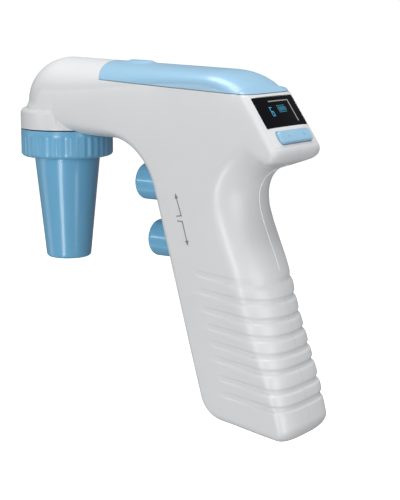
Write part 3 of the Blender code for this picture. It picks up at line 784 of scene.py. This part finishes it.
def make_panel():
    panel = make_form("rear_panel_look", False, dense=False)
    combine(panel, [panel_block("panel_shape", PANEL_S, PANEL_HALF, (-PANEL_THICK, 8.0))],
            "INTERSECT")
    s_mid = (WINDOW_S[0] + WINDOW_S[1]) / 2
    half_s = (WINDOW_S[1] - WINDOW_S[0]) / 2
    r_mid = (ROCKER_S[0] + ROCKER_S[1]) / 2
    r_half = (ROCKER_S[1] - ROCKER_S[0]) / 2
    rooms = [slab("window_room", s_mid, half_s + WINDOW_GAP, WINDOW_HALF + WINDOW_GAP, 0.5,
                  [(0, -8), (0, 8)]),
             slab("rocker_room", r_mid, r_half + MOVING_GAP, ROCKER_HALF + MOVING_GAP, 1.9,
                  [(0, -8), (0, 8)])]
    combine(panel, rooms, "DIFFERENCE")
    piece(resmooth(panel), "housing", "white_plastic", "rear_panel")

    window = slab("display_window_look", s_mid, half_s, WINDOW_HALF, 0.4,
                  edge_levels(-1.5, -0.05, 0.2))
    piece(window, "housing", "display_glass", "display_window")
    t = 0.42
    digit = [(4.5, 4.5 + t, -6.2, -4.4), (4.5, 8.6, -6.2, -6.2 + t), (6.35, 6.35 + t, -6.2, -4.4),
             (8.6 - t, 8.6, -6.2, -4.4), (6.35, 8.6, -4.4 - t, -4.4)]
    flat_marks("display_digit", digit, -0.06, 0.03, "housing", "display_glass", LIT_DIGIT)
    left, right, top, low = -0.3, 5.2, 4.0, 7.2
    sign = [(top, top + 0.3, left, right), (low - 0.3, low, left, right),
            (top, low, left, left + 0.3), (top, low, right - 0.3, right),
            (top + 0.9, low - 0.9, right, right + 0.5)]
    sign += [(top + 0.65, low - 0.65, left + 0.7 + k * 1.08, left + 1.5 + k * 1.08)
             for k in range(4)]
    flat_marks("display_battery", sign, -0.06, 0.03, "housing", "display_glass", LIT_BATTERY)
    # A painted glint: the glowing L-shaped line stands in for a reflection on the display's
    # window.
    line = [(1.8, 2.2, -4.5, 9.9), (1.8, 11.7, 9.5, 10.1)]
    flat_marks("display_painted_glint", line, -0.06, 0.03, "housing", "display_glass", SCREEN_PAINTED_GLINT)

    levels = [(0.6, -2.3)] + edge_levels(-2.0, ROCKER_PROUD, 0.75)
    levels += [(1.6, ROCKER_PROUD + 0.03), (2.4, ROCKER_PROUD + 0.04)]
    rocker = slab("speed_rocker_look", r_mid, r_half, ROCKER_HALF, 1.7, levels)
    piece(rocker, "speed_rocker", "pale_blue_plastic", "speed_rocker")
    hub = panel_block("rocker_hub", (ROCKER_S[0] + 0.4, ROCKER_S[1] - 0.4), 1.2, (-4.1, -1.5))
    piece(hub, "speed_rocker", "pale_blue_plastic")
    height = ROCKER_PROUD + 0.03
    marks = [(r_mid - 0.17, r_mid + 0.17, -6.2, -4.4), (r_mid - 0.17, r_mid + 0.17, 5.3, 7.1),
             (r_mid - 0.9, r_mid + 0.9, 6.03, 6.37)]
    flat_marks("rocker_marks", marks, height, 0.03, "speed_rocker", "pale_blue_plastic",
               ROCKER_PRINT)


# ------------------------------------------------------------------ nose, triggers, screws

def cone_r(z):
    """The nosepiece's outer radius below its collar."""
    slope = (CONE_BOTTOM_R - CONE_TOP_R) / (CONE_BOTTOM - COLLAR_BOTTOM)
    return CONE_TOP_R + slope * (z - COLLAR_BOTTOM)


def fluted(r, z, angle):
    """Hollows the collar's flutes, below its plain band."""
    if r < COLLAR_R - 2.0 or z < COLLAR_BOTTOM + 0.2:
        return r
    start = max(0.0, min(1.0, (COLLAR_TOP - 2.0 - z) / 0.8))
    return r - 0.3 * start * (0.5 - 0.5 * math.cos(FLUTES * angle))


def make_nosepiece():
    outside = [(15.6, COLLAR_TOP), (COLLAR_R, COLLAR_TOP)]
    outside += [(COLLAR_R, COLLAR_TOP - 0.5 - k * 0.5) for k in range(20)]
    outside += [(COLLAR_R - 2.4 * (1.0 - cosine), COLLAR_BOTTOM + 1.6 * (1.0 - sine))
                for sine, cosine in quarter_turn(8, 1)]
    outside.append((CONE_TOP_R + 0.6, COLLAR_BOTTOM))
    outside.append((CONE_TOP_R + 0.15, COLLAR_BOTTOM - 0.2))
    outside.append((cone_r(COLLAR_BOTTOM - 0.9), COLLAR_BOTTOM - 0.9))
    outside += [(cone_r(z), z) for z in (-20.0, -30.0, -40.0, -50.0)]
    outside += [(cone_r(CONE_BOTTOM + 1.6) - 1.5 * (1.0 - cosine) - 0.05 * step / 8,
                 CONE_BOTTOM + 1.6 * (1.0 - sine))
                for step, (sine, cosine) in enumerate(quarter_turn(8))]
    outside += [(MOUTH_R + 0.6 * (1.0 - sine), CONE_BOTTOM + 0.6 * (1.0 - cosine))
                for sine, cosine in quarter_turn(4, 1)]
    inside_wall = [(MOUTH_R, CONE_BOTTOM + 1.6), (cone_r(-50.0) - 2.2, -50.0),
                   (cone_r(-14.0) - 2.2, -14.0), (15.6, -11.5)]

    nose = lathe("nosepiece_look", outside + inside_wall, FLUTES * 10, radius_at=fluted,
                 closed=True)
    piece(nose, "nosepiece", "blue_plastic", "nosepiece")


def make_holder():
    mouth = CONE_BOTTOM + 1.9
    profile = [(3.0, -16.0), (cone_r(-16.0) - 2.7, -16.0), (cone_r(-50.0) - 2.6, -50.0),
               (MOUTH_R - 0.1, mouth), (5.4, mouth), (4.4, -48.0)]
    for k in range(4):
        z = -46.0 + k * 4.0
        profile += [(4.5, z), (4.15, z + 0.8), (4.5, z + 1.6)]
    profile += [(4.2, -24.0), (3.0, -22.5)]
    holder = lathe("pipette_holder_look", rounded(profile, 0.5), 96, closed=True)
    piece(holder, "nose_carrier", "silicone", "pipette_holder")


def make_triggers():
    for name, (tip_x, tip_z) in TRIGGER_TIPS.items():
        profile = [(0.0, 0.0)]
        profile += [(TRIGGER_R * sine ** 0.75, -3.0 * (1.0 - cosine ** 0.9))
                    for sine, cosine in quarter_turn(18, 1)]
        profile += [(TRIGGER_R, -TRIGGER_LENGTH), (5.4, -TRIGGER_LENGTH), (5.4, -7.6),
                    (2.0, -7.6), (2.0, -36.5), (0.0, -36.5)]
        frame_matrix = Matrix.Translation((tip_x, 0.0, tip_z)) @ Matrix.Rotation(
            -math.pi / 2.0, 4, "Y")
        trigger = lathe(name + "_look", profile, 128, frame_matrix)
        piece(trigger, name, "blue_plastic", name)


def make_screws():
    for index, (x, z) in enumerate(SCREWS, 1):
        profile = rounded([(0.0, 2.0), (SCREW_HEAD_R, 2.0), (SCREW_HEAD_R, 0.3), (1.2, 0.3)],
                          0.5, closed=False)
        for k in range(22):
            profile += [(1.2, -0.4 - k), (0.95, -0.9 - k)]
        profile.append((0.0, -22.0))
        frame_matrix = Matrix.Translation((x, SCREW_SEAT, z)) @ Matrix.Rotation(
            -math.pi / 2.0, 4, "X")
        screw = lathe(f"housing_screw_{index}_look", profile, 48, frame_matrix)
        slots = [block("slot", (x - 1.5, SCREW_SEAT + 1.1, z - 0.25),
                       (x + 1.5, SCREW_SEAT + 4.0, z + 0.25)),
                 block("slot", (x - 0.25, SCREW_SEAT + 1.1, z - 1.5),
                       (x + 0.25, SCREW_SEAT + 4.0, z + 1.5))]
        combine(screw, slots, "DIFFERENCE")
        piece(resmooth(screw), "housing", "steel", f"housing_screw_{index}")


def stroke(bm, start, end, width, y):
    """A straight printed line on a side of the body, thin along Y."""
    start, end = Vector(start), Vector(end)
    along = (end - start).normalized() * width / 2
    across = Vector((-along.y, along.x))
    corners = (start - along - across, end + along - across, end + along + across,
               start - along + across)
    add_plate(bm, corners, y)


def add_plate(bm, corners, y):
    inner = [bm.verts.new((p.x, y[0], p.y)) for p in corners]
    outer = [bm.verts.new((p.x, y[1], p.y)) for p in corners]
    count = len(corners)
    bm.faces.new(inner)
    bm.faces.new(outer[::-1])
    for index in range(count):
        other = (index + 1) % count
        bm.faces.new((inner[index], outer[index], outer[other], inner[other]))


def make_arrows():
    for name, side in (("left", -1.0), ("right", 1.0)):
        bm = bmesh.new()
        y = (side * (HALF_WIDTH - 0.05), side * (HALF_WIDTH + 0.04))
        for foot, bend, tip in (((72.0, -31.0), (74.2, -30.6), (71.2, -21.7)),
                                ((72.5, -32.9), (74.7, -32.9), (77.5, -42.6))):
            toward = (Vector(tip) - Vector(bend)).normalized()
            across = Vector((-toward.y, toward.x))
            neck = Vector(tip) - toward * 2.2
            stroke(bm, foot, bend, 0.45, y)
            stroke(bm, bend, neck, 0.45, y)
            add_plate(bm, (Vector(tip), neck + across * 0.85, neck - across * 0.85), y)
        bmesh.ops.recalc_face_normals(bm, faces=bm.faces)
        piece(to_object(f"arrows_{name}", bm), "housing", "white_plastic", material=PRINT)


# ------------------------------------------------------------------ stage

def softbox(name, spot, size, power):
    """An area light at spot, aimed at the origin."""
    data = bpy.data.lights.new(name, "AREA")
    data.shape = "RECTANGLE"
    data.size, data.size_y = size
    data.energy = power
    lamp = bpy.data.objects.new(name, data)
    lamp.location = spot
    lamp.rotation_euler = (-Vector(spot)).to_track_quat("-Z", "Y").to_euler()
    bpy.context.scene.collection.objects.link(lamp)


def make_stage():
    scene = bpy.context.scene
    camera_data = bpy.data.cameras.new("camera")
    camera_data.lens = 97.5
    camera = bpy.data.objects.new("camera", camera_data)
    camera.location = (0.2988, -0.4543, 0.1065)
    camera.rotation_euler = (math.radians(79.83), 0.0, math.radians(34.66))
    scene.collection.objects.link(camera)
    scene.camera = camera

    world = bpy.data.worlds.new("studio")
    scene.world = world
    world.use_nodes = True
    background = world.node_tree.nodes["Background"]
    background.inputs["Color"].default_value = (0.97, 0.98, 1.0, 1.0)
    background.inputs["Strength"].default_value = 0.2
    scene.view_settings.view_transform = "Standard"

    # A pale floor that curves up all round.
    profile = [(0.1 * k, FLOOR_Z) for k in range(1, 16)]
    profile += [(FLOOR_REACH + FLOOR_REACH * sine, FLOOR_Z + FLOOR_REACH * (1.0 - cosine))
                for sine, cosine in quarter_turn(12, 1)]
    profile.append((2.0 * FLOOR_REACH, 4.0))
    bm = bmesh.new()
    steps = 64
    rings = []
    for r, z in profile:
        rings.append([bm.verts.new((r * math.cos(2 * math.pi * s / steps),
                                    r * math.sin(2 * math.pi * s / steps), z))
                      for s in range(steps)])
    middle = bm.verts.new((0.0, 0.0, FLOOR_Z))
    for s in range(steps):
        bm.faces.new((middle, rings[0][s], rings[0][(s + 1) % steps]))
        for ring, after in zip(rings, rings[1:]):
            bm.faces.new((ring[s], after[s], after[(s + 1) % steps], ring[(s + 1) % steps]))
    mesh = bpy.data.meshes.new("floor")
    bm.to_mesh(mesh)
    bm.free()
    mesh.shade_smooth()
    floor = bpy.data.objects.new("floor", mesh)
    scene.collection.objects.link(floor)
    mat, tree, shader, where = new_material("floor_paper")
    tint = ramp(tree, noise(tree, where, 3.0), 0.9, 0.93)
    tree.links.new(tint, shader.inputs["Base Color"])
    shader.inputs["Roughness"].default_value = 0.9
    shader.inputs["Emission Color"].default_value = (1.0, 1.0, 1.0, 1.0)
    shader.inputs["Emission Strength"].default_value = 0.85
    mesh.materials.append(mat)
    floor.visible_diffuse = False
    floor.visible_glossy = False
    floor.visible_shadow = False

    for light in LIGHTS:
        softbox(*light)


make_stage()
make_housings()
make_cover()
make_panel()
make_nosepiece()
make_holder()
make_triggers()
make_screws()
make_arrows()

replaced = {node for obj in bpy.data.objects for node in obj.get("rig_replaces", [])}
SLOTS = {part["node"]: part["material_slot"] for part in frame["record"]["subparts"]}
for node, obj in frame["nodes"].items():
    if node not in replaced:
        obj.data.materials.clear()
        obj.data.materials.append(MATERIALS[SLOTS[node]])
